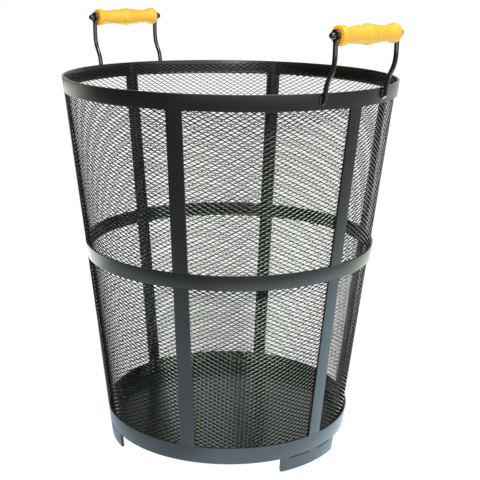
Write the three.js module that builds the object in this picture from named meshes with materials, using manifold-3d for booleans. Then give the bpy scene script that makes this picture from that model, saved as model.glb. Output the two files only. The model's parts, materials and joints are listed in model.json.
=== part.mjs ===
// Log bin: a tapered lattice of flat steel bar lined with expanded metal, a sheet floor, three feet and two
// handles with turned wooden grips. Millimetres, +Z up, origin on the floor under the middle of the bin.
// The handles stand on +X and -X, and the first upright is on +X.

import * as THREE from 'three';
import { mergeVertices } from 'three/addons/utils/BufferGeometryUtils.js';
import Module from 'manifold-3d';

const wasm = await Module();
wasm.setup();

// Driving dimensions: the wall
const RIM_RADIUS = 225; // outside of the wall at the rim's top edge
const FLOOR_RADIUS = 168.5; // outside of the wall's line where it meets the floor
const RIM_HEIGHT = 510; // rim's top edge above the floor
const MID_BAND_HEIGHT = 277.5; // middle of the middle band above the floor
const UPRIGHT_COUNT = 6;

// Driving dimensions: the flat bar that bands, uprights and feet are cut from
const BAR_WIDTH = 20;
const BAR_THICKNESS = 3;
const BASE_BAR_WIDTH = 24; // the base band's bar is the widest
const FOOT_HEIGHT = 20;
const FOOT_LENGTH = 107;
const FOOT_CORNER = 3;
const UPRIGHTS_PER_FOOT = 2;

// Driving dimensions: floor and mesh
const PLATE_THICKNESS = 2;
const PLATE_INSET = 1; // floor's underside above the base band's lower edge
const MESH_THICKNESS = 1.5;
const MESH_DROP = 2; // mesh's upper edge below the rim's top edge
const DIAMOND_WIDTH = 72; // long way of one diamond, coarser than the real sheet's
const DIAMOND_HEIGHT = 49; // short way of one diamond
const STRAND_WIDTH = 6;

// Driving dimensions: handles
const GRIP_RISE = 66.5; // grip's axis above the rim's top edge
const GRIP_OVERHANG = 9; // grip's axis outside the rim's edge
const GRIP_LENGTH = 104;
const GRIP_END_RADIUS = 9.6;
const GRIP_FLARE_RADIUS = 12;
const GRIP_WAIST_RADIUS = 9.6;
const GRIP_SWELL_RADIUS = 11.2;
const GRIP_BEAD_RADIUS = 12.4;
const GRIP_BEAD_WIDTH = 13;
const GRIP_BEAD_FULLNESS = 0.8; // share of the bead's half width that its crown takes
const GRIP_FLARE_INSET = 3.5; // widest place of the flare from the grip's end
const GRIP_WAIST_INSET = 18; // narrowest place from the grip's end
const ROD_RADIUS = 3;
const ROD_RISE = 4; // leg's lower tip above the rim's lower edge
const ROD_STRAIGHT = 12; // upright stretch of the leg under the eye
const UPPER_BEND = 0.62; // share of the leg's S that its upper bend takes
const LOWER_BEND = 0.46; // share that its lower bend takes
const EYE_MARGIN = 2.7; // flattened eye's edge outside its cap
const EYE_THICKNESS = 5;
const NECK_LENGTH = 3; // flattened stretch of the rod below the eye
const SPINDLE_RADIUS = 2.6;
const CAP_RADIUS = 4.5;
const CAP_SHOULDER = 2.6; // straight side of the cap under its dome

// Clearances
const SEAM = 0.3; // between welded neighbours
const MESH_SEAM = 0.4; // between the mesh and the bars in front of it
const BORE_CLEARANCE = 0.4; // grip on its spindle
const END_PLAY = 0.5; // grip between its legs

// Smoothness
const BAND_SEGMENTS = 72;
const GRIP_SEGMENTS = 16;
const ROD_SIDES = 8;
const ROD_STEPS = 16;
const EYE_SEGMENTS = 16;
const CAP_SEGMENTS = 12;
const CAP_RINGS = 4;
const FOOT_STEPS = 8;
const CORNER_STEPS = 4;
const GRIP_CURVE_STEPS = 3;

// Worked-out sizes
const SLOPE = (RIM_RADIUS - FLOOR_RADIUS) / RIM_HEIGHT;
const LEAN = Math.atan(SLOPE);
const APEX_DEPTH = FLOOR_RADIUS / SLOPE; // below the floor, where the wall's cone would close
const BASE_BAND_BOTTOM = FOOT_HEIGHT + SEAM;
const BASE_BAND_TOP = BASE_BAND_BOTTOM + BASE_BAR_WIDTH;
const MID_BAND_BOTTOM = MID_BAND_HEIGHT - BAR_WIDTH / 2;
const MID_BAND_TOP = MID_BAND_HEIGHT + BAR_WIDTH / 2;
const RIM_BOTTOM = RIM_HEIGHT - BAR_WIDTH;
const PLATE_BOTTOM = BASE_BAND_BOTTOM + PLATE_INSET;
const PLATE_TOP = PLATE_BOTTOM + PLATE_THICKNESS;
const BAY_ANGLE = (2 * Math.PI) / UPRIGHT_COUNT;
const GRIP_HEIGHT = RIM_HEIGHT + GRIP_RISE;
const GRIP_REACH = RIM_RADIUS + GRIP_OVERHANG;
const LEG_OFFSET = GRIP_LENGTH / 2 + END_PLAY + ROD_RADIUS;
const EYE_RADIUS = CAP_RADIUS + EYE_MARGIN;
const EYE_FACE = LEG_OFFSET + EYE_THICKNESS / 2;
const EYE_BOTTOM = GRIP_HEIGHT - EYE_RADIUS;

const blackSteel = new THREE.MeshStandardMaterial({ color: 0x23262a, roughness: 0.5, metalness: 0.3 });
const blackMesh = new THREE.MeshStandardMaterial({ color: 0x1b1d20, roughness: 0.45, metalness: 0.3 });
const glossSteel = new THREE.MeshStandardMaterial({ color: 0x14171a, roughness: 0.28, metalness: 0.3 });
const varnishedWood = new THREE.MeshStandardMaterial({ color: 0xf0b84a, roughness: 0.4, metalness: 0 });

const bin = new THREE.Group();

function addPiece(parent, name, geometry, material) {
  const mesh = new THREE.Mesh(geometry, material);
  mesh.name = name;
  parent.add(mesh);
  return mesh;
}

// Outside of the wall at a height, and the level width of a sheet that leans with the wall.
function wallRadius(height) {
  return FLOOR_RADIUS + SLOPE * height;
}

function levelWidth(thickness) {
  return thickness / Math.cos(LEAN);
}

// Section of a leaning flat bar between two heights, as points of radius and height.
function barSection(bottom, top) {
  const depth = levelWidth(BAR_THICKNESS);
  return [
    new THREE.Vector2(wallRadius(bottom) - depth, bottom),
    new THREE.Vector2(wallRadius(bottom), bottom),
    new THREE.Vector2(wallRadius(top), top),
    new THREE.Vector2(wallRadius(top) - depth, top),
  ];
}

// Only positions with shared corners, so that a shape is one closed body.
function weld(geometry) {
  geometry.deleteAttribute('normal');
  geometry.deleteAttribute('uv');
  const closed = mergeVertices(geometry, 1e-4);
  closed.computeVertexNormals();
  return closed;
}

function toManifold(geometry) {
  const closed = weld(geometry);
  const vertProperties = new Float32Array(closed.attributes.position.array);
  const triVerts = new Uint32Array(closed.index.array);
  return new wasm.Manifold(new wasm.Mesh({ numProp: 3, vertProperties, triVerts }));
}

function fromManifold(manifold) {
  const { vertProperties, triVerts } = manifold.getMesh();
  const geometry = new THREE.BufferGeometry();
  geometry.setAttribute('position', new THREE.BufferAttribute(vertProperties, 3));
  geometry.setIndex(new THREE.BufferAttribute(triVerts, 1));
  geometry.computeVertexNormals();
  return geometry;
}

// A band is the bar's section turned once round the bin.
function bandGeometry(bottom, top) {
  const section = barSection(bottom, top);
  const ring = new THREE.LatheGeometry([...section, section[0]], BAND_SEGMENTS);
  ring.rotateX(Math.PI / 2);
  return weld(ring);
}

// An upright is the same section drawn straight across the bar's width.
function uprightGeometry(bottom, top) {
  const shape = new THREE.Shape(barSection(bottom, top));
  const bar = new THREE.ExtrudeGeometry(shape, { depth: BAR_WIDTH, bevelEnabled: false });
  bar.translate(0, 0, -BAR_WIDTH / 2);
  bar.rotateX(Math.PI / 2);
  return weld(bar);
}

// The wall laid flat is a sector of a ring round the point where its cone would close. A place on the wall,
// by its angle and height, lies on the flat sheet at the same slant distance from that point.
function flatPoint(angle, height) {
  const slant = (height + APEX_DEPTH) / Math.cos(LEAN);
  const turn = angle * Math.sin(LEAN);
  return new THREE.Vector2(slant * Math.sin(turn), slant * Math.cos(turn));
}

// Extrudes a flat sheet and rolls it to the wall's cone, with its inner face at setback behind the outside.
function rolledSheet(shape, thickness, setback) {
  const sheet = new THREE.ExtrudeGeometry(shape, { depth: thickness, bevelEnabled: false });
  const position = sheet.attributes.position;
  for (let i = 0; i < position.count; i += 1) {
    const flat = new THREE.Vector2(position.getX(i), position.getY(i));
    const angle = Math.atan2(flat.x, flat.y) / Math.sin(LEAN);
    const height = flat.length() * Math.cos(LEAN) - APEX_DEPTH;
    const radius = wallRadius(height) - levelWidth(setback - position.getZ(i));
    position.setXYZ(i, radius * Math.cos(angle), radius * Math.sin(angle), height);
  }
  return weld(sheet);
}

// A foot is a short length of bar bent round the floor's line, drawn up with the wall's lean, with its
// lower corners rounded off.
function footGeometry() {
  const half = FOOT_LENGTH / 2 / FLOOR_RADIUS;
  const plan = new THREE.Shape();
  plan.absarc(0, 0, FLOOR_RADIUS, -half, half);
  plan.absarc(0, 0, FLOOR_RADIUS - levelWidth(BAR_THICKNESS), half, -half, true);
  const bar = new THREE.ExtrudeGeometry(plan, {
    depth: FOOT_HEIGHT,
    bevelEnabled: false,
    curveSegments: FOOT_STEPS / 2,
  });
  const position = bar.attributes.position;
  for (let i = 0; i < position.count; i += 1) {
    const plane = new THREE.Vector2(position.getX(i), position.getY(i));
    plane.setLength(plane.length() + SLOPE * position.getZ(i));
    position.setXY(i, plane.x, plane.y);
  }
  const side = FLOOR_RADIUS * Math.sin(half);
  const window = new THREE.Shape();
  window.moveTo(-side - FOOT_HEIGHT, FOOT_HEIGHT + SEAM);
  window.lineTo(-side - FOOT_HEIGHT, FOOT_CORNER);
  window.lineTo(-side, FOOT_CORNER);
  window.absarc(-side + FOOT_CORNER, FOOT_CORNER, FOOT_CORNER, Math.PI, 1.5 * Math.PI);
  window.absarc(side - FOOT_CORNER, FOOT_CORNER, FOOT_CORNER, -Math.PI / 2, 0);
  window.lineTo(side + FOOT_HEIGHT, FOOT_CORNER);
  window.lineTo(side + FOOT_HEIGHT, FOOT_HEIGHT + SEAM);
  const rounding = new THREE.ExtrudeGeometry(window, {
    depth: 2 * FLOOR_RADIUS,
    bevelEnabled: false,
    curveSegments: CORNER_STEPS / 2,
  });
  rounding.rotateX(Math.PI / 2);
  rounding.rotateZ(Math.PI / 2);
  return fromManifold(toManifold(bar).intersect(toManifold(rounding)));
}

function plateGeometry() {
  const radius = wallRadius(PLATE_BOTTOM) - levelWidth(BAR_THICKNESS) - MESH_SEAM;
  const plate = new THREE.CylinderGeometry(radius, radius, PLATE_THICKNESS, BAND_SEGMENTS);
  plate.rotateX(Math.PI / 2);
  plate.translate(0, 0, PLATE_BOTTOM + PLATE_THICKNESS / 2);
  return weld(plate);
}

// A mesh panel is a flat sheet with rows of staggered diamonds, rolled to lie behind the bars. Its upper
// and lower edges are cut through the middle of a row, and its plain side borders hide behind two uprights.
// Places on it are given by arc length at the rim and by height.
function meshPanelGeometry() {
  const setback = BAR_THICKNESS + MESH_SEAM + MESH_THICKNESS;
  const bottom = PLATE_TOP + SEAM;
  const top = RIM_HEIGHT - MESH_DROP;
  const edge = (RIM_RADIUS * BAY_ANGLE) / 2 - SEAM;
  const openEdge = edge - BAR_WIDTH / 2;
  const columns = Math.max(1, Math.round((2 * openEdge) / DIAMOND_WIDTH));
  const rows = Math.max(1, Math.round((top - bottom) / DIAMOND_HEIGHT));
  const half = new THREE.Vector2(openEdge / columns, (top - bottom) / rows / 2);
  const shrink = 1 - ((STRAND_WIDTH / 2) * half.length()) / (half.x * half.y);
  const reach = half.clone().multiplyScalar(shrink);
  const place = (x, height) => flatPoint(x / RIM_RADIUS, height);
  const columnX = (column) => column * half.x - openEdge;

  const cutEdge = (height, tip) => {
    const points = [];
    for (let column = 0; column <= 2 * columns; column += 2) {
      const x = columnX(column);
      points.push(place(Math.max(x - reach.x, -openEdge), height));
      points.push(place(x, height + tip));
      points.push(place(Math.min(x + reach.x, openEdge), height));
    }
    return points;
  };
  const shape = new THREE.Shape([
    place(-edge, bottom),
    ...cutEdge(bottom, reach.y),
    place(edge, bottom),
    place(edge, top),
    ...cutEdge(top, -reach.y).reverse(),
    place(-edge, top),
  ]);

  for (let row = 1; row < 2 * rows; row += 1) {
    for (let column = row % 2; column <= 2 * columns; column += 2) {
      const x = columnX(column);
      const height = bottom + row * half.y;
      const corners = [place(x, height - reach.y), place(x, height + reach.y)];
      if (column < 2 * columns) {
        corners.splice(1, 0, place(x + reach.x, height));
      }
      if (column > 0) {
        corners.push(place(x - reach.x, height));
      }
      shape.holes.push(new THREE.Path(corners));
    }
  }
  return rolledSheet(shape, MESH_THICKNESS, setback);
}

// A handle is made on +X, with its grip along Y.

// Where a leg's axis lies against the rim's outside at a height.
function legReach(height) {
  const distance = wallRadius(height) + levelWidth(ROD_RADIUS + SEAM);
  return Math.sqrt(distance ** 2 - LEG_OFFSET ** 2);
}

// The leg's middle line: up the rim's outside, outward in an S, then upright to the eye.
function legPath(side) {
  const y = side * LEG_OFFSET;
  const low = RIM_BOTTOM + ROD_RISE;
  const upper = EYE_BOTTOM - ROD_STRAIGHT;
  const rise = upper - RIM_HEIGHT;
  const point = (x, z) => new THREE.Vector3(x, y, z);
  const path = new THREE.CurvePath();
  path.add(new THREE.LineCurve3(point(legReach(low), low), point(legReach(RIM_HEIGHT), RIM_HEIGHT)));
  path.add(
    new THREE.CubicBezierCurve3(
      point(legReach(RIM_HEIGHT), RIM_HEIGHT),
      point(legReach(RIM_HEIGHT) + SLOPE * LOWER_BEND * rise, RIM_HEIGHT + LOWER_BEND * rise),
      point(GRIP_REACH, upper - UPPER_BEND * rise),
      point(GRIP_REACH, upper),
    ),
  );
  path.add(new THREE.LineCurve3(point(GRIP_REACH, upper), point(GRIP_REACH, EYE_BOTTOM)));
  return path;
}

// The rod's flattened head: a round eye with a hole for the spindle, on a neck that narrows to the rod.
function eyeGeometry(side) {
  const shoulder = Math.PI / 6;
  const outline = new THREE.Shape();
  outline.moveTo(-ROD_RADIUS, -EYE_RADIUS - NECK_LENGTH);
  outline.lineTo(ROD_RADIUS, -EYE_RADIUS - NECK_LENGTH);
  outline.absarc(0, 0, EYE_RADIUS, -shoulder, Math.PI + shoulder);
  const hole = new THREE.Path();
  hole.absarc(0, 0, SPINDLE_RADIUS + SEAM, 0, 2 * Math.PI);
  outline.holes.push(hole);
  const eye = new THREE.ExtrudeGeometry(outline, {
    depth: EYE_THICKNESS,
    bevelEnabled: false,
    curveSegments: EYE_SEGMENTS / 2,
  });
  eye.translate(0, 0, -EYE_THICKNESS / 2);
  eye.rotateX(Math.PI / 2);
  eye.translate(GRIP_REACH, side * LEG_OFFSET, GRIP_HEIGHT);
  return eye;
}

// A leg is a bent round rod with a slanted cut at its foot and a flattened eye at its head.
function legGeometry(side) {
  const circle = new THREE.Path();
  circle.absarc(0, 0, ROD_RADIUS, 0, 2 * Math.PI);
  const section = new THREE.Shape(circle.getPoints(ROD_SIDES / 2).slice(0, -1));
  const rod = new THREE.ExtrudeGeometry(section, { steps: ROD_STEPS, extrudePath: legPath(side) });
  const low = RIM_BOTTOM + ROD_RISE;
  const cutSize = 8 * ROD_RADIUS;
  const cut = new THREE.BoxGeometry(cutSize, cutSize, cutSize);
  cut.translate(0, 0, -cutSize / 2);
  cut.rotateY(-Math.PI / 4);
  cut.translate(legReach(low), side * LEG_OFFSET, low + ROD_RADIUS);
  const leg = toManifold(rod).subtract(toManifold(cut)).add(toManifold(eyeGeometry(side)));
  return fromManifold(leg);
}

// Half of the turned grip's outline, from its lower end to its middle: a rounded flare, a waist, a swelling
// and half of the centre bead.
function gripHalfOutline() {
  const end = GRIP_LENGTH / 2;
  const flare = end - GRIP_FLARE_INSET;
  const waist = end - GRIP_WAIST_INSET;
  const bead = GRIP_BEAD_WIDTH / 2;
  const flareBend = (flare - waist) / 2;
  const swellBend = (waist - bead) / 2;
  const outline = new THREE.Path();
  outline.moveTo(GRIP_END_RADIUS, -end);
  outline.quadraticCurveTo(GRIP_FLARE_RADIUS, -end, GRIP_FLARE_RADIUS, -flare);
  outline.bezierCurveTo(
    GRIP_FLARE_RADIUS,
    -flare + flareBend,
    GRIP_WAIST_RADIUS,
    -waist - flareBend,
    GRIP_WAIST_RADIUS,
    -waist,
  );
  outline.bezierCurveTo(
    GRIP_WAIST_RADIUS,
    -waist + swellBend,
    GRIP_SWELL_RADIUS,
    -bead - swellBend,
    GRIP_SWELL_RADIUS,
    -bead,
  );
  outline.quadraticCurveTo(GRIP_BEAD_RADIUS, -bead * GRIP_BEAD_FULLNESS, GRIP_BEAD_RADIUS, 0);
  return outline.getPoints(GRIP_CURVE_STEPS);
}

function gripGeometry() {
  const bore = SPINDLE_RADIUS + BORE_CLEARANCE;
  const lower = gripHalfOutline();
  const upper = lower.slice(0, -1).map((point) => new THREE.Vector2(point.x, -point.y)).reverse();
  const start = new THREE.Vector2(bore, -GRIP_LENGTH / 2);
  const finish = new THREE.Vector2(bore, GRIP_LENGTH / 2);
  const grip = new THREE.LatheGeometry([start, ...lower, ...upper, finish, start], GRIP_SEGMENTS);
  grip.translate(GRIP_REACH, 0, GRIP_HEIGHT);
  return weld(grip);
}

function spindleGeometry() {
  const spindle = new THREE.CylinderGeometry(SPINDLE_RADIUS, SPINDLE_RADIUS, 2 * EYE_FACE, EYE_SEGMENTS);
  spindle.translate(GRIP_REACH, 0, GRIP_HEIGHT);
  return weld(spindle);
}

// A cap is a dome on a short straight shoulder, with its flat side on the eye's outer face.
function capGeometry(side) {
  const dome = new THREE.Path();
  dome.moveTo(CAP_RADIUS, 0);
  dome.lineTo(CAP_RADIUS, CAP_SHOULDER);
  dome.absarc(0, CAP_SHOULDER, CAP_RADIUS, 0, Math.PI / 2);
  const profile = [new THREE.Vector2(0, 0), ...dome.getPoints(CAP_RINGS / 2)];
  profile[profile.length - 1].x = 0;
  const cap = new THREE.LatheGeometry(profile, CAP_SEGMENTS);
  if (side < 0) {
    cap.rotateX(Math.PI);
  }
  cap.translate(GRIP_REACH, side * (EYE_FACE + SEAM), GRIP_HEIGHT);
  return weld(cap);
}

function addHandle(name, turn) {
  const handle = new THREE.Group();
  handle.rotation.z = turn;
  bin.add(handle);
  const ends = { front: -1, back: 1 };
  for (const [end, side] of Object.entries(ends)) {
    addPiece(handle, `${name}_leg_${end}`, legGeometry(side), glossSteel);
    addPiece(handle, `${name}_cap_${end}`, capGeometry(side), glossSteel);
  }
  addPiece(handle, `${name}_spindle`, spindleGeometry(), glossSteel);
  addPiece(handle, `${name}_grip`, gripGeometry(), varnishedWood);
}

addPiece(bin, 'rim_band', bandGeometry(RIM_BOTTOM, RIM_HEIGHT), blackSteel);
addPiece(bin, 'mid_band', bandGeometry(MID_BAND_BOTTOM, MID_BAND_TOP), blackSteel);
addPiece(bin, 'base_band', bandGeometry(BASE_BAND_BOTTOM, BASE_BAND_TOP), blackSteel);
addPiece(bin, 'base_plate', plateGeometry(), blackSteel);

for (let i = 0; i < UPRIGHT_COUNT; i += 1) {
  const angle = i * BAY_ANGLE;
  const upper = uprightGeometry(MID_BAND_TOP + SEAM, RIM_BOTTOM - SEAM);
  const lower = uprightGeometry(BASE_BAND_TOP + SEAM, MID_BAND_BOTTOM - SEAM);
  addPiece(bin, `upper_upright_${i + 1}`, upper, blackSteel).rotation.z = angle;
  addPiece(bin, `lower_upright_${i + 1}`, lower, blackSteel).rotation.z = angle;
  const panel = addPiece(bin, `mesh_panel_${i + 1}`, meshPanelGeometry(), blackMesh);
  panel.rotation.z = angle + BAY_ANGLE / 2;
  if (i % UPRIGHTS_PER_FOOT === 0) {
    const foot = addPiece(bin, `foot_${i / UPRIGHTS_PER_FOOT + 1}`, footGeometry(), blackSteel);
    foot.rotation.z = angle;
  }
}

addHandle('right', 0);
addHandle('left', Math.PI);

export default bin;
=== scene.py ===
"""Log bin: a tapered lattice of black powder-coated bar lined with expanded metal.

It has a sheet floor, three feet and two handles with turned wooden grips. Lengths are in metres, and MM
turns a size in millimetres into metres. Surfaces are worked out as whole arrays on grids of two parameters.
"""

import json
import math

import bmesh
import bpy
import numpy as np
from mathutils import Matrix, Vector


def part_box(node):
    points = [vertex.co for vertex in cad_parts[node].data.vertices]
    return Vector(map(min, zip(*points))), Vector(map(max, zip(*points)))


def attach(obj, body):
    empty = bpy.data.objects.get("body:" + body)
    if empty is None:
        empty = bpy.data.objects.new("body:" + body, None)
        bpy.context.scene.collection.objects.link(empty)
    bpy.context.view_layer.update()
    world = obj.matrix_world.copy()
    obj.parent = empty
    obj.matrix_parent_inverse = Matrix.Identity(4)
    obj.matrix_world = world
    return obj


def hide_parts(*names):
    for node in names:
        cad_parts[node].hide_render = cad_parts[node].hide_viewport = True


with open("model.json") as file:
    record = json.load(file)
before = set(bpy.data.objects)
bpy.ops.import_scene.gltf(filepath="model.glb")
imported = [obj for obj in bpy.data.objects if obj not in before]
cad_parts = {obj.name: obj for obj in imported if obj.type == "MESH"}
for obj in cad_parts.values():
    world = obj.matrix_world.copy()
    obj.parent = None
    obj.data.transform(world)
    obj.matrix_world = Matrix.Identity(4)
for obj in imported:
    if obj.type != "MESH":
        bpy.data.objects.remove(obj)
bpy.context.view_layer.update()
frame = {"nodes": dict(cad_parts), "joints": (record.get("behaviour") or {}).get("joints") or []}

MM = 0.001

# The wall's cone and the flat bar, measured on the frame
rim_low, rim_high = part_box("rim_band")
mid_low, mid_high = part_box("mid_band")
base_low, base_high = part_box("base_band")
upright_low, upright_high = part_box("upper_upright_1")
_, foot_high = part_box("foot_1")
_, plate_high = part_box("base_plate")
SLOPE = (rim_high.x - base_high.x) / (rim_high.z - base_high.z)
LEAN = math.atan(SLOPE)


def wall_radius(height):
    """Outside of the wall at a height: the rim's radius, less the slope times the drop below the rim."""
    return rim_high.x - SLOPE * (rim_high.z - height)


BAR_WIDTH = upright_high.y - upright_low.y
BAR_DEPTH = wall_radius(upright_low.z) - upright_low.x
BAR_EDGE = 0.5 * MM  # rounding along the edges of rolled flat bar
BAY = math.radians(60)
UPRIGHTS = range(6)
FOOT_EVERY = 2  # uprights from one foot to the next
FOOT_CORNER = 3 * MM
FOOT_SLIT = 1.0 * MM  # between a foot and the base band, where no weld fills it

# The welds
WELD_FILLET = 2.5 * MM  # ground weld in the corners of the lattice
WELD_INSET = 0.25 * MM  # its face behind the bars' faces
WELD_BITE = 0.2 * MM  # how far it reaches into the bars, and how far its back lies before theirs
FOOT_WELDS_DEG = ((-17.8, -13), (-2, 2.9), (13, 17.8))  # filled stretches, from a foot's middle
FOOT_WELD_LAP = 0.6 * MM  # over the rounded edges above and below the slit
FOOT_WELD_PROUD = 0.03 * MM
BEAD_RADIUS = 1.5 * MM  # weld bead beside a leg
BEAD_RIPPLE = 2.8 * MM
BEAD_ASIDE = 2.6 * MM  # bead's middle to the leg's axis, along the rim
BEAD_OUTSIDE = 0.4 * MM  # bead's middle outside the rim's face
BEAD_LOW = 6 * MM  # bead's lower end above the rim's lower edge
BEAD_HIGH = 2 * MM  # bead's upper end below the rim's upper edge

# The expanded metal
MESH_LONG_WAY = 10.6 * MM
MESH_SHORT_WAY = 5.7 * MM
STRAND_WIDTH = 1.2 * MM
STRAND_THICKNESS = 0.4 * MM
STRAND_TILT = math.radians(50)  # strands of raised expanded metal slant: their broad outer sides look up
BOND_LENGTH = 0.5 * MM  # where two strands run together
MESH_SETBACK = BAR_DEPTH + 1.1 * MM  # wall's outside to the middle of the sheet
MESH_SIDE_GAP = 0.6 * MM
MESH_FLOOR_GAP = 0.3 * MM
MESH_DROP = 2.5 * MM  # sheet's upper edge below the rim's

# The handles, placed by the joint that each grip turns on
grip_joint = next(joint for joint in frame["joints"] if joint["child"] == "grip_right")
GRIP_REACH, _, GRIP_HEIGHT = grip_joint["pos_m"]
grip_low, grip_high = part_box("right_grip")
leg_low, leg_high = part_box("right_leg_back")
GRIP_LENGTH = grip_high.y - grip_low.y
LEG_OFFSET = (leg_low.y + leg_high.y) / 2
ROD_RADIUS = (leg_high.y - leg_low.y) / 2
EYE_RADIUS = leg_high.z - GRIP_HEIGHT
EYE_THICKNESS = 5 * MM
EYE_SQUARENESS = 1.6  # what the eye's section adds to the exponent 2 of the round rod
NECK_LENGTH = 3 * MM
SHANK_LENGTH = 12 * MM  # upright stretch of the leg under the eye
UPPER_BEND = 0.62  # shares of the S's rise that its two bends take
LOWER_BEND = 0.46
GRIP_END_RADIUS = 9.6 * MM
GRIP_FLARE_RADIUS = 12 * MM
GRIP_WAIST_RADIUS = 9.6 * MM
GRIP_SWELL_RADIUS = 11.2 * MM
GRIP_BEAD_RADIUS = 12.4 * MM
GRIP_BEAD_WIDTH = 13 * MM
GRIP_BEAD_FULLNESS = 0.8  # share of the bead's half width that its crown takes
GRIP_FLARE_INSET = 3.5 * MM
GRIP_WAIST_INSET = 18 * MM
GRIP_BORE = 3 * MM
CAP_RADIUS = 4.5 * MM
CAP_SHOULDER = 2.6 * MM

# How finely the surfaces are divided
EDGE_STEPS = 4  # points on each rounded edge of a bar
CORNER_STEPS = 7  # points on each quarter circle of a foot's corner or a ground weld
HOOP_STEPS = 288
FOOT_STEPS = 33
FOOT_WELD_STEPS = 9
RIM_STEPS = 6  # points of a leg's line up the rim, and then in its S, shank, eye and crown
BEND_STEPS = 26
SHANK_STEPS = 8
EYE_STEPS = 14
CROWN_STEPS = 10
ROD_SIDES = 24
BEAD_STEPS = 40
BEAD_SIDES = 10
DOME_STEPS = 12
CAP_SIDES = 32
FLARE_STEPS = 8
WAIST_STEPS = 14
CENTRE_BEAD_STEPS = 10
GRIP_SIDES = 64
MERGE_DISTANCE = 1e-6  # points nearer than this are one

# The photograph's camera
CAMERA_DISTANCE = 1.3581
CAMERA_HEIGHT = 0.6477
CAMERA_AZIMUTH = math.radians(47.3)
CAMERA_YAW = math.radians(-0.645)
CAMERA_PITCH = math.radians(15.178)
CAMERA_ROLL = math.radians(0.831)
CAMERA_LENS_MM = 74.93
CAMERA_SENSOR_MM = 36


# Materials


def hex_linear(code):
    """Linear RGBA of an sRGB hex colour: c / 12.92 up to 0.04045, above it ((c + 0.055) / 1.055) ^ 2.4."""
    channels = np.array([int(code[i : i + 2], 16) for i in (1, 3, 5)]) / 255
    linear = np.where(channels <= 0.04045, channels / 12.92, ((channels + 0.055) / 1.055) ** 2.4)
    return (*linear.tolist(), 1.0)


def add_node(tree, kind, sockets, **settings):
    """Adds a node, sets its options and fills inputs by identifier, each with a value or a node's output."""
    made = tree.nodes.new(kind)
    for name, value in settings.items():
        setattr(made, name, value)
    for identifier, value in sockets.items():
        socket = next(s for s in made.inputs if s.identifier == identifier)
        if isinstance(value, tuple) and isinstance(value[0], bpy.types.Node):
            source, output = value
            tree.links.new(next(s for s in source.outputs if s.identifier == output), socket)
        else:
            socket.default_value = value
    return made


def new_material(name):
    """A material with an empty node tree."""
    material = bpy.data.materials.new(name)
    material.use_nodes = True
    material.node_tree.nodes.clear()
    return material, material.node_tree


def powder_coat(name, shades, roughness, ior, peel_mm, peel_height_mm, cast="#FFFFFF"):
    """Polyester powder baked on steel, a satin black skin.

    To the eye it is near black with soft, wide reflections, to which it may give a faint cast. Slow clouds
    change its shade and gloss a little, and the powder flows out to a faint orange peel.
    """
    material, tree = new_material(name)
    place = add_node(tree, "ShaderNodeTexCoord", {})
    here = (place, "Object")
    dark, light = shades
    smooth, rough = roughness
    cloud_mm = 45
    cloud = {"Vector": here, "Scale": 1 / (cloud_mm * MM), "Detail": 4.0}
    clouds = add_node(tree, "ShaderNodeTexNoise", cloud)
    orange = {"Vector": here, "Scale": 1 / (peel_mm * MM), "Detail": 2.0}
    peel = add_node(tree, "ShaderNodeTexNoise", orange)
    shade = add_node(
        tree,
        "ShaderNodeMix",
        {"Factor_Float": (clouds, "Fac"), "A_Color": hex_linear(dark), "B_Color": hex_linear(light)},
        data_type="RGBA",
    )
    gloss = add_node(
        tree,
        "ShaderNodeMapRange",
        {"Value": (clouds, "Fac"), "To Min": smooth, "To Max": rough},
    )
    bump = add_node(
        tree,
        "ShaderNodeBump",
        {"Height": (peel, "Fac"), "Distance": peel_height_mm * MM, "Strength": 1.0},
    )
    skin = add_node(
        tree,
        "ShaderNodeBsdfPrincipled",
        {
            "Base Color": (shade, "Result_Color"),
            "Roughness": (gloss, "Result"),
            "Normal": (bump, "Normal"),
            "IOR": ior,
            "Specular Tint": hex_linear(cast),
        },
    )
    add_node(tree, "ShaderNodeOutputMaterial", {"Surface": (skin, "BSDF")})
    return material


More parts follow.
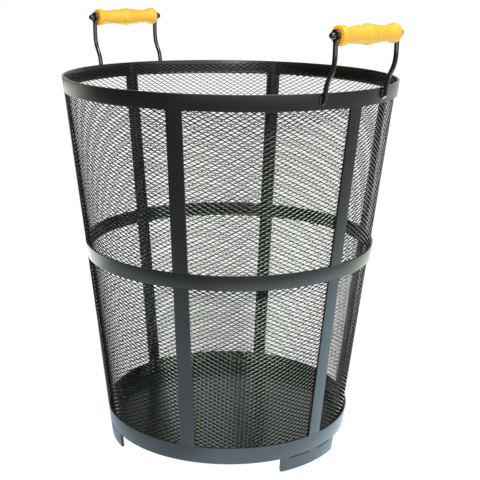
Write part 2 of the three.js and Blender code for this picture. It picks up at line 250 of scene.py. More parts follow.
def varnished_beech():
    """Beech turned on a lathe and dipped in amber varnish.

    To the eye it is golden yellow with fine straight grain along the grip, slow warm bands across it, and
    more orange end grain, all under a smooth clear coat. The last millimetres at each end are painted more
    orange and brighter than the body: partly the end grain's own colour, partly painted light that makes up
    for the little light that reaches the ends.
    """
    material, tree = new_material("varnished_beech")
    place = add_node(tree, "ShaderNodeTexCoord", {})
    here = (place, "Object")
    grain_mm = 1.1
    grain_length_mm = 28
    grain_height_mm = 0.02
    band_mm = 7
    band_stretch = 0.3  # share of the bands' fineness that is left along the grip
    end_grain_and_light_start_mm = 2.5  # from the grip's end
    end_grain_and_light_full_mm = 0.2
    stretch = add_node(
        tree,
        "ShaderNodeMapping",
        {"Vector": here, "Scale": (1 / (grain_mm * MM), 1 / (grain_length_mm * MM), 1 / (grain_mm * MM))},
    )
    fine = {"Vector": (stretch, "Vector"), "Scale": 1.0, "Detail": 3.0}
    grain = add_node(tree, "ShaderNodeTexNoise", fine)
    lengthways = add_node(
        tree,
        "ShaderNodeMapping",
        {"Vector": here, "Scale": (1 / (band_mm * MM), band_stretch / (band_mm * MM), 1 / (band_mm * MM))},
    )
    slow = {"Vector": (lengthways, "Vector"), "Scale": 1.0, "Detail": 2.0}
    bands = add_node(tree, "ShaderNodeTexNoise", slow)
    streaks = add_node(
        tree,
        "ShaderNodeMix",
        {
            "Factor_Float": (grain, "Fac"),
            "A_Color": hex_linear("#D89D2A"),
            "B_Color": hex_linear("#E0A931"),
        },
        data_type="RGBA",
    )
    warmed = add_node(
        tree,
        "ShaderNodeMix",
        {
            "Factor_Float": (bands, "Fac"),
            "A_Color": hex_linear("#E2AE33"),
            "B_Color": (streaks, "Result_Color"),
        },
        data_type="RGBA",
    )
    apart = add_node(tree, "ShaderNodeSeparateXYZ", {"Vector": here})
    along = add_node(tree, "ShaderNodeMath", {"Value": (apart, "Y")}, operation="ABSOLUTE")
    # Painted light: the ends are made more orange and brighter than the body, partly end grain and partly
    # painted light for the little light they get
    end_grain_and_light = add_node(
        tree,
        "ShaderNodeMapRange",
        {
            "Value": (along, "Value"),
            "From Min": GRIP_LENGTH / 2 - end_grain_and_light_start_mm * MM,
            "From Max": GRIP_LENGTH / 2 - end_grain_and_light_full_mm * MM,
        },
    )
    ended = add_node(
        tree,
        "ShaderNodeMix",
        {
            "Factor_Float": (end_grain_and_light, "Result"),
            "A_Color": (warmed, "Result_Color"),
            "B_Color": hex_linear("#FFB22C"),
        },
        data_type="RGBA",
    )
    bump = add_node(
        tree,
        "ShaderNodeBump",
        {"Height": (grain, "Fac"), "Distance": grain_height_mm * MM, "Strength": 1.0},
    )
    wood = add_node(
        tree,
        "ShaderNodeBsdfPrincipled",
        {
            "Base Color": (ended, "Result_Color"),
            "Roughness": 0.55,
            "Normal": (bump, "Normal"),
            "IOR": 1.5,
            "Coat Weight": 0.06,
            "Coat Roughness": 0.3,
        },
    )
    add_node(tree, "ShaderNodeOutputMaterial", {"Surface": (wood, "BSDF")})
    return material


bar_coat = powder_coat(
    "satin_powder_coat",
    ("#0B0C08", "#12130E"),
    roughness=(0.27, 0.36),
    ior=1.52,
    peel_mm=1.4,
    peel_height_mm=0.012,
)
plate_coat = powder_coat(
    "floor_powder_coat",
    ("#252C2D", "#2F3839"),
    roughness=(0.2, 0.28),
    ior=1.52,
    peel_mm=1.8,
    peel_height_mm=0.012,
)
mesh_coat = powder_coat(
    "mesh_powder_coat",
    ("#0B0C0A", "#121410"),
    roughness=(0.14, 0.2),
    ior=1.75,
    peel_mm=1.4,
    peel_height_mm=0.008,
    cast="#F0FFEE",
)
rod_coat = powder_coat(
    "gloss_powder_coat",
    ("#0A0B0A", "#111210"),
    roughness=(0.1, 0.16),
    ior=1.65,
    peel_mm=2.2,
    peel_height_mm=0.008,
)
beech = varnished_beech()


# Meshes


def grid_quads(rows, columns, close_rows=False, close_columns=False):
    """Quads over a grid of points stored row by row, joined round where a direction closes on itself."""
    i = np.arange(rows if close_rows else rows - 1)[:, None]
    j = np.arange(columns if close_columns else columns - 1)[None, :]
    below = i * columns
    above = (i + 1) % rows * columns
    right = (j + 1) % columns
    return np.stack([below + j, below + right, above + right, above + j], axis=-1).reshape(-1, 4)


def ring_caps(rows, columns):
    """The two end faces of a tube of rings, as rings of point numbers."""
    last = (rows - 1) * columns
    return [list(range(columns)), list(range(last, last + columns))]


def tube_faces(rows, columns):
    """The faces of a tube of rings with both ends closed."""
    return grid_quads(rows, columns, False, True).tolist() + ring_caps(rows, columns)


def add_piece(name, points, faces, material, body="frame", replaces=(), smooth_deg=35):
    """Makes a mesh object at the origin, merges points that coincide, turns its faces outwards and sets the
    body that it rides."""
    mesh = bpy.data.meshes.new(name)
    mesh.from_pydata(points.reshape(-1, 3).tolist(), [], faces)
    build = bmesh.new()
    build.from_mesh(mesh)
    bmesh.ops.remove_doubles(build, verts=build.verts, dist=MERGE_DISTANCE)
    bmesh.ops.recalc_face_normals(build, faces=build.faces)
    build.to_mesh(mesh)
    build.free()
    mesh.shade_smooth()
    mesh.set_sharp_from_angle(angle=math.radians(smooth_deg))
    mesh.materials.append(material)
    piece = bpy.data.objects.new(name, mesh)
    bpy.context.scene.collection.objects.link(piece)
    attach(piece, body)
    if replaces:
        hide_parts(*replaces)


def turned(points, angle):
    """Points turned about the bin's axis: x cos a - y sin a and x sin a + y cos a, with z kept."""
    c = math.cos(angle)
    s = math.sin(angle)
    return points @ np.array([[c, s, 0], [-s, c, 0], [0, 0, 1]])


def rounded_outline(corners, radius, steps):
    """A closed outline whose corners are parabolas. With a and b the steps of one radius from a corner P
    towards its neighbours, the curve there is P + (1 - t)^2 a + t^2 b."""
    corners = np.asarray(corners, float)
    before = np.roll(corners, 1, axis=0) - corners
    after = np.roll(corners, -1, axis=0) - corners
    before *= radius / np.linalg.norm(before, axis=1, keepdims=True)
    after *= radius / np.linalg.norm(after, axis=1, keepdims=True)
    t = np.linspace(0, 1, steps)[None, :, None]
    curves = corners[:, None] + (1 - t) ** 2 * before[:, None] + t**2 * after[:, None]
    return curves.reshape(-1, 2)


def revolved(outline, steps):
    """A closed outline of radius and height carried once round the axis: x = r cos a, y = r sin a, z = h."""
    angle = np.linspace(0, 2 * np.pi, steps, endpoint=False)[:, None]
    radius = outline[None, :, 0]
    height = np.broadcast_to(outline[None, :, 1], (steps, len(outline)))
    points = np.stack([radius * np.cos(angle), radius * np.sin(angle), height], axis=-1)
    return points, grid_quads(steps, len(outline), True, True).tolist()


# Bars


def hoop(name, low, high, node):
    """A band: the leaning bar's section with rounded edges, revolved."""
    corners = [
        (wall_radius(low.z) - BAR_DEPTH, low.z),
        (wall_radius(low.z), low.z),
        (wall_radius(high.z), high.z),
        (wall_radius(high.z) - BAR_DEPTH, high.z),
    ]
    points, faces = revolved(rounded_outline(corners, BAR_EDGE, EDGE_STEPS), HOOP_STEPS)
    add_piece(name, points, faces, bar_coat, replaces=[node])


def upright(name, bottom, top, angle, node):
    """An upright: a rounded bar section (across, inward) drawn up the wall, so x = wall radius - inward."""
    half = BAR_WIDTH / 2
    corners = [(-half, 0), (half, 0), (half, BAR_DEPTH), (-half, BAR_DEPTH)]
    section = rounded_outline(corners, BAR_EDGE, EDGE_STEPS)
    height = np.array([bottom, top])[:, None]
    across = np.broadcast_to(section[None, :, 0], (2, len(section)))
    outward = wall_radius(height) - section[None, :, 1]
    points = np.stack([outward, across, np.broadcast_to(height, across.shape)], axis=-1)
    faces = tube_faces(2, len(section))
    add_piece(name, turned(points, angle), faces, bar_coat, replaces=[node])


def foot(name, angle, node):
    """A foot: a rounded section (inward share, height share) carried round the base line, a slit below the
    base band. Near its ends the lower edge rises on a quarter circle:
    FOOT_CORNER - sqrt(FOOT_CORNER^2 - overrun^2)."""
    line = wall_radius(0)
    reach = math.atan2(foot_high.y, line)
    corner_turn = FOOT_CORNER / line
    middle = np.linspace(-1, 1, FOOT_STEPS) * (reach - corner_turn)
    turn = np.linspace(0, np.pi / 2, CORNER_STEPS)[1:]
    beyond = reach - corner_turn + corner_turn * np.sin(turn)
    spread = np.concatenate([-beyond[::-1], middle, beyond])
    overrun = np.clip(np.abs(spread) * line - (reach * line - FOOT_CORNER), 0, FOOT_CORNER)
    lift = FOOT_CORNER - np.sqrt(FOOT_CORNER**2 - overrun**2)
    top = base_low.z - FOOT_SLIT
    size = np.array([BAR_DEPTH, top])
    corners = np.array([(0, 0), (1, 0), (1, 1), (0, 1)]) * size
    section = rounded_outline(corners, BAR_EDGE, EDGE_STEPS) / size
    height = lift[:, None] + (top - lift[:, None]) * section[None, :, 1]
    radius = wall_radius(height) - BAR_DEPTH * section[None, :, 0]
    around = spread[:, None]
    points = np.stack([radius * np.cos(around), radius * np.sin(around), height], axis=-1)
    add_piece(name, turned(points, angle), tube_faces(*height.shape), bar_coat, replaces=[node])


def ground_welds():
    """Concave fillets in the corners of uprights and bands: g (1 - sin a), g (1 - cos a) from each corner."""
    sweep = np.linspace(0, np.pi / 2, CORNER_STEPS)
    aside = np.concatenate([[-WELD_BITE], WELD_FILLET * (1 - np.sin(sweep))])
    away = np.concatenate([[-WELD_BITE], WELD_FILLET * (1 - np.cos(sweep))])
    inset = np.array([WELD_INSET, BAR_DEPTH - WELD_BITE])[:, None]
    edges = [(rim_low.z, -1), (mid_high.z, 1), (mid_low.z, -1), (base_high.z, 1)]
    points = []
    faces = []
    count = len(aside)
    for index in UPRIGHTS:
        for level, up in edges:
            for side in (-1, 1):
                height = np.broadcast_to(level + up * away[None, :], (2, count))
                across = np.broadcast_to(side * (BAR_WIDTH / 2 + aside[None, :]), (2, count))
                outward = np.sqrt(wall_radius(height) ** 2 - across**2) - inset
                start = len(points) * 2 * count
                faces += [[start + k for k in face] for face in tube_faces(2, count)]
                points.append(turned(np.stack([outward, across, height], axis=-1), index * BAY))
    add_piece("ground_welds", np.concatenate(points), faces, bar_coat)


def foot_welds():
    """Weld metal, ground flush, that fills the slit over each foot at its middle and ends: a bar section
    carried round an arc."""
    points = []
    faces = []
    low = base_low.z - FOOT_SLIT - FOOT_WELD_LAP
    high = base_low.z + FOOT_WELD_LAP
    face = -FOOT_WELD_PROUD
    section = np.array([(face, low), (face, high), (BAR_DEPTH, high), (BAR_DEPTH, low)])
    count = len(section)
    for index in UPRIGHTS[::FOOT_EVERY]:
        for start_deg, end_deg in FOOT_WELDS_DEG:
            angle = np.radians(np.linspace(start_deg, end_deg, FOOT_WELD_STEPS))[:, None] + index * BAY
            radius = wall_radius(section[None, :, 1]) - section[None, :, 0]
            height = np.broadcast_to(section[None, :, 1], (FOOT_WELD_STEPS, count))
            start = len(points) * FOOT_WELD_STEPS * count
            faces += [[start + k for k in ring] for ring in tube_faces(FOOT_WELD_STEPS, count)]
            points.append(np.stack([radius * np.cos(angle), radius * np.sin(angle), height], axis=-1))
    add_piece("foot_welds", np.concatenate(points), faces, bar_coat)


# Expanded metal


def expanded_sheet(name, middle_angle, node):
    """One sheet of expanded metal, laid out flat and rolled to the wall's cone.

    Row k of the sheet is one strip that runs in a trapezoid wave between the levels k and k + 1, half a short
    way apart, and touches the strips above and below at the bonds. Its section is a slanted rectangle. The
    flat sheet is a sector round the cone's closing point: a place at slant s and turn p lies at the angle
    p / sin(lean), at the height s cos(lean) above that point and at the radius s sin(lean). Strands meet
    at more than the smoothing angle, so that each keeps its own shading.
    """
    level = MESH_SHORT_WAY / 2
    pitch = MESH_LONG_WAY / 2
    cosine = math.cos(STRAND_TILT)
    sine = math.sin(STRAND_TILT)
    rise = STRAND_WIDTH * cosine + STRAND_THICKNESS * sine
    closing = wall_radius(0) - MESH_SETBACK
    depth = closing / SLOPE
    slant_low = (plate_high.z + MESH_FLOOR_GAP + depth) / math.cos(LEAN)
    slant_high = (rim_high.z - MESH_DROP + depth) / math.cos(LEAN)
    turn_limit = (BAY / 2 - MESH_SIDE_GAP / rim_high.x) * math.sin(LEAN)

    rows = np.arange(math.ceil(slant_low / level), math.floor(slant_high / level))
    outermost = math.ceil(slant_high * turn_limit / pitch)
    nodes = np.arange(-outermost, outermost + 1)
    end_grain_and_light = np.array([-BOND_LENGTH / 2, BOND_LENGTH / 2])
    x = (nodes[:, None] * pitch + end_grain_and_light).ravel()
    up = (rows[:, None] + np.repeat(nodes, 2)[None, :]) % 2
    y = rows[:, None] * level + rise / 2 + up * (level - rise)
    x = np.broadcast_to(x, y.shape)
    slant = np.hypot(x, y)
    inside = (np.abs(np.arctan2(x, y)) < turn_limit) & (slant > slant_low) & (slant < slant_high)

    size = [STRAND_WIDTH / 2, STRAND_THICKNESS / 2]
    corners = np.array([(-1, -1), (1, -1), (1, 1), (-1, 1)]) * size
    section = corners @ np.array([[cosine, -sine], [sine, cosine]])
    x = np.repeat(x[..., None], len(section), axis=-1)
    y = y[..., None] + section[:, 0]
    proud = section[:, 1]
    slant = np.hypot(x, y)
    angle = np.arctan2(x, y) / math.sin(LEAN) + middle_angle
    radius = slant * math.sin(LEAN) + proud * math.cos(LEAN)
    height = slant * math.cos(LEAN) - depth - proud * math.sin(LEAN)
    points = np.stack([radius * np.cos(angle), radius * np.sin(angle), height], axis=-1)

    number = np.arange(points.size // 3).reshape(points.shape[:3])
    joined = inside[:, :-1] & inside[:, 1:]
    here = number[:, :-1][joined]
    there = number[:, 1:][joined]
    sides = np.stack([here, np.roll(here, -1, axis=1), np.roll(there, -1, axis=1), there], axis=-1)
    before = np.pad(joined, ((0, 0), (1, 0)))
    after = np.pad(joined, ((0, 0), (0, 1)))
    stumps = number[before ^ after]
    used, faces = np.unique(np.concatenate([sides.reshape(-1, 4), stumps]), return_inverse=True)
    faces = faces.reshape(-1, 4).tolist()
    points = points.reshape(-1, 3)[used]
    add_piece(name, points, faces, mesh_coat, replaces=[node], smooth_deg=10)


# Handles, made on +X and turned half round for the other side


def rod_line(height):
    """Where a leg's axis lies against the rim: sqrt((wall radius + rod radius)^2 - leg offset^2)."""
    return np.sqrt((wall_radius(height) + ROD_RADIUS / math.cos(LEAN)) ** 2 - LEG_OFFSET**2)


def leg(name, side, turn, node):
    """A leg: a superellipse |q / a|^n + |y / b|^n = 1 carried up a line in the plane y = leg offset.

    The line runs straight up the rim, in a cubic S out to the grip's reach and upright to the eye. At the
    height h from the eye's middle its disc is d = sqrt(eye radius^2 - h^2) wide, and a is
    (rod radius^6 + d^6)^(1/6) below the middle and d above it. The rod's b and n pass smoothly to the eye's.
    The lowest ring is slanted by its own q, so that the rod is cut at 45 degrees with its inner side longer.
    """
    tip = leg_low.z + ROD_RADIUS
    shank = GRIP_HEIGHT - EYE_RADIUS - SHANK_LENGTH
    neck = GRIP_HEIGHT - EYE_RADIUS - NECK_LENGTH
    rise = shank - rim_high.z
    low = np.linspace(tip, rim_high.z, RIM_STEPS)
    start = np.array([rod_line(rim_high.z), rim_high.z])
    finish = np.array([GRIP_REACH, shank])
    t = np.linspace(0, 1, BEND_STEPS)[1:-1, None]
    curve = (
        (1 - t) ** 3 * start
        + 3 * t * (1 - t) ** 2 * (start + LOWER_BEND * rise * np.array([SLOPE, 1]))
        + 3 * t**2 * (1 - t) * (finish - UPPER_BEND * rise * np.array([0, 1]))
        + t**3 * finish
    )
    crown = GRIP_HEIGHT + EYE_RADIUS * np.sin(np.linspace(0, np.pi / 2, CROWN_STEPS)[1:])
    sunk = GRIP_HEIGHT - EYE_RADIUS * np.cos(np.linspace(0, np.pi / 2, EYE_STEPS))
    high = np.concatenate([np.linspace(shank, sunk[0], SHANK_STEPS)[:-1], sunk, crown])
    line = np.concatenate(
        [
            np.column_stack([rod_line(low), low]),
            curve,
            np.column_stack([np.full_like(high, GRIP_REACH), high]),
        ]
    )
    along = np.gradient(line, axis=0)
    along /= np.linalg.norm(along, axis=1, keepdims=True)
    out = np.column_stack([along[:, 1], -along[:, 0]])
    height = line[:, 1]
    share = np.clip((height - neck) / (GRIP_HEIGHT - neck), 0, 1)
    share = share**2 * (3 - 2 * share)
    disc = np.sqrt(np.clip(EYE_RADIUS**2 - (height - GRIP_HEIGHT) ** 2, 0, None))
    blended = np.minimum((ROD_RADIUS**6 + disc**6) ** (1 / 6), EYE_RADIUS)
    a = np.where(height < GRIP_HEIGHT, blended, disc)
    b = ROD_RADIUS + (EYE_THICKNESS / 2 - ROD_RADIUS) * share
    power = 2 / (2 + EYE_SQUARENESS * share)
    round_angle = np.linspace(0, 2 * np.pi, ROD_SIDES, endpoint=False)[None, :]
    cosine = np.cos(round_angle)
    sine = np.sin(round_angle)
    q = a[:, None] * np.sign(cosine) * np.abs(cosine) ** power[:, None]
    y = b[:, None] * np.sign(sine) * np.abs(sine) ** power[:, None]
    flat = line[:, None, :] + q[..., None] * out[:, None, :]
    flat[0] += q[0][:, None] * along[0]
    points = np.stack([flat[..., 0], side * LEG_OFFSET + y, flat[..., 1]], axis=-1)
    rows, columns = q.shape
    faces = grid_quads(rows, columns, False, True).tolist() + ring_caps(rows, columns)[:1]
    add_piece(name, turned(points, turn), faces, rod_coat, replaces=[node])


def leg_beads(name, turn):
    """Weld beads in the two grooves between each leg and the rim: a tube with the radius
    r (0.75 + 0.25 |cos(pi s / ripple)|) carried down the groove and closed at both ends."""
    s = np.linspace(0, 1, BEAD_STEPS)
    height = rim_low.z + BEAD_LOW + (rim_high.z - rim_low.z - BEAD_LOW - BEAD_HIGH) * s
    run = height - height[0]
    thick = BEAD_RADIUS * (0.75 + 0.25 * np.abs(np.cos(np.pi * run / BEAD_RIPPLE)))
    thick *= np.sqrt(np.clip(1 - np.abs(2 * s - 1) ** 8, 0, 1))
    round_angle = np.linspace(0, 2 * np.pi, BEAD_SIDES, endpoint=False)
    points = []
    faces = []
    for end in (-1, 1):
        for groove in (-1, 1):
            middle_y = end * LEG_OFFSET + groove * BEAD_ASIDE
            middle_x = np.sqrt(wall_radius(height) ** 2 - middle_y**2) + BEAD_OUTSIDE
            x = middle_x[:, None] + thick[:, None] * np.cos(round_angle)
            y = middle_y + thick[:, None] * np.sin(round_angle)
            z = np.broadcast_to(height[:, None], x.shape)
            start = len(points) * BEAD_STEPS * BEAD_SIDES
            faces += (grid_quads(BEAD_STEPS, BEAD_SIDES, False, True) + start).tolist()
            points.append(np.stack([x, y, z], axis=-1))
    add_piece(name, turned(np.concatenate(points), turn), faces, rod_coat)


def cap(name, side, turn, node):
    """A domed cap: a straight shoulder and a quarter circle, revolved about the grip's axis on the eye's
    face."""
    sweep = np.linspace(0, np.pi / 2, DOME_STEPS)
    radius = np.concatenate([[0, CAP_RADIUS], CAP_RADIUS * np.cos(sweep)])[:, None]
    rise = np.concatenate([[0, 0], CAP_SHOULDER + CAP_RADIUS * np.sin(sweep)])[:, None]
    face = LEG_OFFSET + EYE_THICKNESS / 2
    round_angle = np.linspace(0, 2 * np.pi, CAP_SIDES, endpoint=False)[None, :]
    x = GRIP_REACH + radius * np.cos(round_angle)
    z = GRIP_HEIGHT + radius * np.sin(round_angle)
    y = side * (face + np.broadcast_to(rise, x.shape))
    rows, columns = x.shape
    points = np.stack([x, y, z], axis=-1)
    faces = grid_quads(rows, columns, False, True).tolist()
    add_piece(name, turned(points, turn), faces, rod_coat, replaces=[node])


def bezier(points, steps):
    """Points of a Bezier curve of any degree: the sum of binomial(n, i) (1 - t)^(n - i) t^i P(i)."""
    degree = len(points) - 1
    t = np.linspace(0, 1, steps)[:, None]
    shares = [math.comb(degree, i) * (1 - t) ** (degree - i) * t**i for i in range(degree + 1)]
    return np.sum([share * np.array(point) for share, point in zip(shares, points)], axis=0)


def grip(name, turn, body, node):
    """A turned grip: half outlines of rounded flare, waist, swelling and centre bead, revolved about its
    axis."""
    end = GRIP_LENGTH / 2
    flare = end - GRIP_FLARE_INSET
    waist = end - GRIP_WAIST_INSET
    bead = GRIP_BEAD_WIDTH / 2
    crown = GRIP_BEAD_FULLNESS * bead
    half_way = (flare + waist) / 2
    rise_way = (waist + bead) / 2
    half = np.concatenate(
        [
            [(GRIP_BORE, -end)],
            bezier(
                [
                    (GRIP_END_RADIUS, -end),
                    (GRIP_FLARE_RADIUS, -end),
                    (GRIP_FLARE_RADIUS, -flare),
                ],
                FLARE_STEPS,
            ),
            bezier(
                [
                    (GRIP_FLARE_RADIUS, -flare),
                    (GRIP_FLARE_RADIUS, -half_way),
                    (GRIP_WAIST_RADIUS, -half_way),
                    (GRIP_WAIST_RADIUS, -waist),
                ],
                WAIST_STEPS,
            )[1:],
            bezier(
                [
                    (GRIP_WAIST_RADIUS, -waist),
                    (GRIP_WAIST_RADIUS, -rise_way),
                    (GRIP_SWELL_RADIUS, -rise_way),
                    (GRIP_SWELL_RADIUS, -bead),
                ],
                WAIST_STEPS,
            )[1:],
            bezier(
                [
                    (GRIP_SWELL_RADIUS, -bead),
                    (GRIP_BEAD_RADIUS, -crown),
                    (GRIP_BEAD_RADIUS, 0),
                ],
                CENTRE_BEAD_STEPS,
            )[1:],
        ]
    )
    outline = np.concatenate([half, half[-2::-1] * [1, -1]])
    around = np.linspace(0, 2 * np.pi, GRIP_SIDES, endpoint=False)[:, None]
    x = GRIP_REACH + outline[None, :, 0] * np.cos(around)
    z = GRIP_HEIGHT + outline[None, :, 0] * np.sin(around)
    y = np.broadcast_to(outline[None, :, 1], x.shape)
    rows, columns = x.shape
    points = turned(np.stack([x, y, z], axis=-1), turn)
    faces = grid_quads(rows, columns, True, True).tolist()
    add_piece(name, points, faces, beech, body=body, replaces=[node], smooth_deg=60)


# Stage


def distances_along(tree, place, directions):
    """How far a place lies along each of some level directions: their dot products."""
    distances = []
    for direction in directions:
        vectors = {"Vector": place, "Vector_001": (direction.x, direction.y, 0.0)}
        product = add_node(tree, "ShaderNodeVectorMath", vectors, operation="DOT_PRODUCT")
        distances.append((product, "Value"))
    return distances


def soft_areas(tree, areas, least=0.0):
    """The largest of a least value and some areas with soft edges.

    An area is the product of smooth fades. Each fade is given as the value that it follows, that value where
    the fade starts and ends, and what the fade is at its start and at its end.
    """
    largest = least
    for fades in areas:
        area = 1.0
        for value, start, end, first, last in fades:
            limits = {"Value": value, "From Min": start, "From Max": end, "To Min": first, "To Max": last}
            fade = add_node(tree, "ShaderNodeMapRange", limits, interpolation_type="SMOOTHSTEP")
            factors = {"Value": area, "Value_001": (fade, "Result")}
            area = (add_node(tree, "ShaderNodeMath", factors, operation="MULTIPLY"), "Value")
        pair = {"Value": largest, "Value_001": area}
        largest = (add_node(tree, "ShaderNodeMath", pair, operation="MAXIMUM"), "Value")
    return largest


def stretched_distance(tree, toward, aside, stretch, shift, aside_shift):
    """The distance from a point of the floor, as an oval: the root of (toward stretch + shift)^2 plus
    (aside + aside shift)^2."""
    scaled = {"Value": toward, "Value_001": stretch, "Value_002": shift}
    depth = add_node(tree, "ShaderNodeMath", scaled, operation="MULTIPLY_ADD")
    width = add_node(tree, "ShaderNodeMath", {"Value": aside, "Value_001": aside_shift}, operation="ADD")
    pair = add_node(tree, "ShaderNodeCombineXYZ", {"X": (depth, "Value"), "Y": (width, "Value")})
    length = add_node(tree, "ShaderNodeVectorMath", {"Vector": (pair, "Vector")}, operation="LENGTH")
    return length, "Value"


def white_floor(front, right):
    """A white paper floor that glows.

    Reflections see a cool lit patch round the bin, dark under it and weaker on the left, a bright sweep and a
    hot strip close behind it, a lit stretch farther back and some light on the right. The rest falls off into
    the dark of the studio. The camera sees plain white with a soft oval shade behind the bin.
    """
    material, tree = new_material("paper_sweep")
    place = add_node(tree, "ShaderNodeTexCoord", {})
    here = (place, "Object")
    toward, aside = distances_along(tree, here, (front, right))
    apart = stretched_distance(tree, toward, aside, 1.2, 0.36, 0.0)
    length = add_node(tree, "ShaderNodeVectorMath", {"Vector": here}, operation="LENGTH")
    from_axis = (length, "Value")
    leaned = {"Value": aside, "Value_001": 0.6, "Value_002": from_axis}
    unshaded = (add_node(tree, "ShaderNodeMath", leaned, operation="MULTIPLY_ADD"), "Value")
    patch = [
        (apart, 0.8, 1.3, 3.1, 0.2),
        (aside, -0.11, 0.0, 0.5, 1.0),
        (aside, 0.5, 0.8, 1.0, 0.75),
        (toward, 0.0, 0.15, 0.8, 1.0),
        (from_axis, 0.12, 0.19, 0.1, 1.0),
    ]
    sweep = [
        (toward, -0.05, -0.45, 0.0, 3.2),
        (aside, -0.3, 0.5, 1.05, 0.5),
        (apart, 1.1, 1.6, 1.0, 0.0),
    ]
    hot_strip = [
        (toward, -0.05, -0.2, 0.0, 5.0),
        (unshaded, 0.24, 0.4, 0.1, 1.0),
        (from_axis, 0.45, 0.7, 1.0, 0.0),
    ]
    far_back = [
        (toward, -0.6, -1.3, 0.0, 2.2),
        (aside, -0.3, 0.3, 1.0, 0.6),
        (toward, -3.3, -3.9, 1.0, 0.0),
    ]
    right_side = [(aside, 0.3, 1.0, 0.0, 0.5)]
    lit = soft_areas(tree, [patch, sweep, hot_strip, far_back, right_side])
    warm = soft_areas(tree, [[(apart, 0.8, 1.2, 0.0, 1.0)], [(toward, 0.0, -0.3, 0.0, 1.0)]])
    tint = add_node(
        tree,
        "ShaderNodeMix",
        {"Factor_Float": warm, "A_Color": hex_linear("#D6EEFF"), "B_Color": hex_linear("#FAFFF4")},
        data_type="RGBA",
    )
    glow = add_node(tree, "ShaderNodeEmission", {"Color": (tint, "Result_Color"), "Strength": lit})
    off_shade = stretched_distance(tree, toward, aside, 0.34, 0.15, 0.04)
    shade = soft_areas(tree, [[(off_shade, 0.04, 0.17, 0.74, 1.0)]])
    plain = add_node(tree, "ShaderNodeEmission", {"Color": hex_linear("#FFFFFF"), "Strength": shade})
    ray = add_node(tree, "ShaderNodeLightPath", {})
    seen = add_node(
        tree,
        "ShaderNodeMixShader",
        {"Fac": (ray, "Is Camera Ray"), "Shader": (glow, "Emission"), "Shader_001": (plain, "Emission")},
    )
    paper = add_node(tree, "ShaderNodeBsdfDiffuse", {"Color": hex_linear("#606060")})
    both = add_node(tree, "ShaderNodeAddShader", {"Shader": (seen, "Shader"), "Shader_001": (paper, "BSDF")})
    add_node(tree, "ShaderNodeOutputMaterial", {"Surface": (both, "Shader")})
    half = 4.0
    level = -0.2 * MM
    corners = [(-half, -half, level), (half, -half, level), (half, half, level), (-half, half, level)]
    mesh = bpy.data.meshes.new("floor")
    mesh.from_pydata(corners, [], [(0, 1, 2, 3)])
    mesh.materials.append(material)
    floor = bpy.data.objects.new("floor", mesh)
    bpy.context.scene.collection.objects.link(floor)


def studio_world(front, right):
    """The studio round the bin.

    Reflections see a bright sweep straight behind the bin above the horizon, a lower one behind it on the
    right, a soft low glow in front and on the right, and the dark of the studio elsewhere. The camera sees
    plain white.
    """
    world = bpy.data.worlds.new("studio")
    world.use_nodes = True
    tree = world.node_tree
    tree.nodes.clear()
    place = add_node(tree, "ShaderNodeTexCoord", {})
    here = (place, "Generated")
    front_right = front * 0.94 + right * 0.34
    toward, aside, between = distances_along(tree, here, (front, right, front_right))
    apart = add_node(tree, "ShaderNodeSeparateXYZ", {"Vector": here})
    up = (apart, "Z")
    low = (up, 0.25, 0.45, 1.0, 0.0)
    straight_behind = [
        (toward, -0.8, -0.92, 0.0, 1.5),
        (up, 0.05, 0.2, 0.0, 1.0),
        (up, 0.3, 0.55, 1.0, 0.4),
    ]
    behind_right = [
        (toward, -0.55, -0.9, 0.0, 1.4),
        (aside, -0.1, 0.3, 0.0, 1.0),
        (up, 0.15, 0.4, 1.0, 0.0),
    ]
    glow_front = [(between, 0.4, 0.9, 0.0, 2.2), low]
    glow_right = [(aside, 0.2, 0.9, 0.0, 0.5), low]
    dark = 0.08
    lit = soft_areas(tree, [straight_behind, behind_right, glow_front, glow_right], dark)
    ray = add_node(tree, "ShaderNodeLightPath", {})
    seen = add_node(
        tree,
        "ShaderNodeMix",
        {"Factor_Float": (ray, "Is Camera Ray"), "A_Float": lit, "B_Float": 1.0},
        data_type="FLOAT",
    )
    sky = add_node(
        tree,
        "ShaderNodeBackground",
        {"Color": hex_linear("#FFFFFF"), "Strength": (seen, "Result_Float")},
    )
    add_node(tree, "ShaderNodeOutputWorld", {"Surface": (sky, "Background")})
    bpy.context.scene.world = world


def soft_box(name, place, aim, width, depth, radiance):
    """An oval area light that faces the bin's axis at the height aim. Its power is pi times its area times
    its radiance."""
    data = bpy.data.lights.new(name, "AREA")
    data.shape = "ELLIPSE"
    data.size = width
    data.size_y = depth
    data.energy = math.pi * (math.pi / 4 * width * depth) * radiance
    light = bpy.data.objects.new(name, data)
    light.location = place
    light.rotation_euler = (Vector((0, 0, aim)) - place).to_track_quat("-Z", "Y").to_euler()
    bpy.context.scene.collection.objects.link(light)


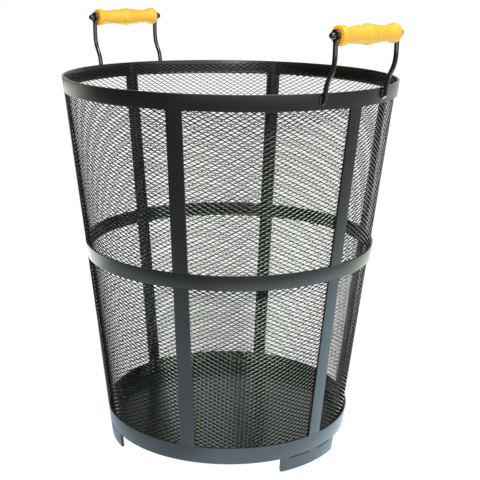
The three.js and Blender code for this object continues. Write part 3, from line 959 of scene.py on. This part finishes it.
def photograph_camera():
    """The photograph's camera: turned to its azimuth and yaw, pitched down, and rolled about its own view.
    Gives the level direction from the bin's axis to the camera."""
    data = bpy.data.cameras.new("photograph")
    data.lens = CAMERA_LENS_MM
    data.sensor_width = CAMERA_SENSOR_MM
    camera = bpy.data.objects.new("photograph", data)
    across = CAMERA_DISTANCE * Vector((math.sin(CAMERA_AZIMUTH), -math.cos(CAMERA_AZIMUTH), 0))
    camera.matrix_world = (
        Matrix.Translation(across + Vector((0, 0, CAMERA_HEIGHT)))
        @ Matrix.Rotation(CAMERA_AZIMUTH + CAMERA_YAW, 4, "Z")
        @ Matrix.Rotation(math.pi / 2 - CAMERA_PITCH, 4, "X")
        @ Matrix.Rotation(CAMERA_ROLL, 4, "Z")
    )
    bpy.context.scene.collection.objects.link(camera)
    bpy.context.scene.camera = camera
    return across.normalized()


front = photograph_camera()
right = Vector((-front.y, front.x, 0))
up = Vector((0, 0, 1))
white_floor(front, right)
studio_world(front, right)
overhead = front * 0.64 + right * 0.3 + up * 1.9
soft_box("overhead_light", overhead, aim=0.3, width=1.95, depth=0.76, radiance=8.5)
over_camera = front * 1.2 + right * 0.55 + up * 1.75
soft_box("fill_light", over_camera, aim=0.2, width=1.8, depth=0.5, radiance=3)
behind_camera = front * 2.4 - right * 0.15 + up * 1.5
soft_box("front_light", behind_camera, aim=0.5, width=0.5, depth=0.9, radiance=11)
bpy.context.scene.view_settings.view_transform = "Standard"

hoop("rim_hoop", rim_low, rim_high, "rim_band")
hoop("mid_hoop", mid_low, mid_high, "mid_band")
hoop("base_hoop", base_low, base_high, "base_band")
for i in UPRIGHTS:
    upright(f"upper_bar_{i + 1}", mid_high.z, rim_low.z, i * BAY, f"upper_upright_{i + 1}")
    upright(f"lower_bar_{i + 1}", base_high.z, mid_low.z, i * BAY, f"lower_upright_{i + 1}")
    expanded_sheet(f"expanded_sheet_{i + 1}", (i + 0.5) * BAY, f"mesh_panel_{i + 1}")
for i in UPRIGHTS[::FOOT_EVERY]:
    number = i // FOOT_EVERY + 1
    foot(f"foot_bar_{number}", i * BAY, f"foot_{number}")
ground_welds()
foot_welds()

for hand, half_turn in (("right", 0.0), ("left", math.pi)):
    for end_name, end_side in (("front", -1), ("back", 1)):
        leg(f"{hand}_rod_{end_name}", end_side, half_turn, f"{hand}_leg_{end_name}")
        cap(f"{hand}_dome_{end_name}", end_side, half_turn, f"{hand}_cap_{end_name}")
    leg_beads(f"{hand}_leg_welds", half_turn)
    grip(f"{hand}_wood_grip", half_turn, f"grip_{hand}", f"{hand}_grip")

shown_nodes = {"base_plate": plate_coat, "right_spindle": rod_coat, "left_spindle": rod_coat}
for node_name, coat in shown_nodes.items():
    materials = frame["nodes"][node_name].data.materials
    materials.clear()
    materials.append(coat)
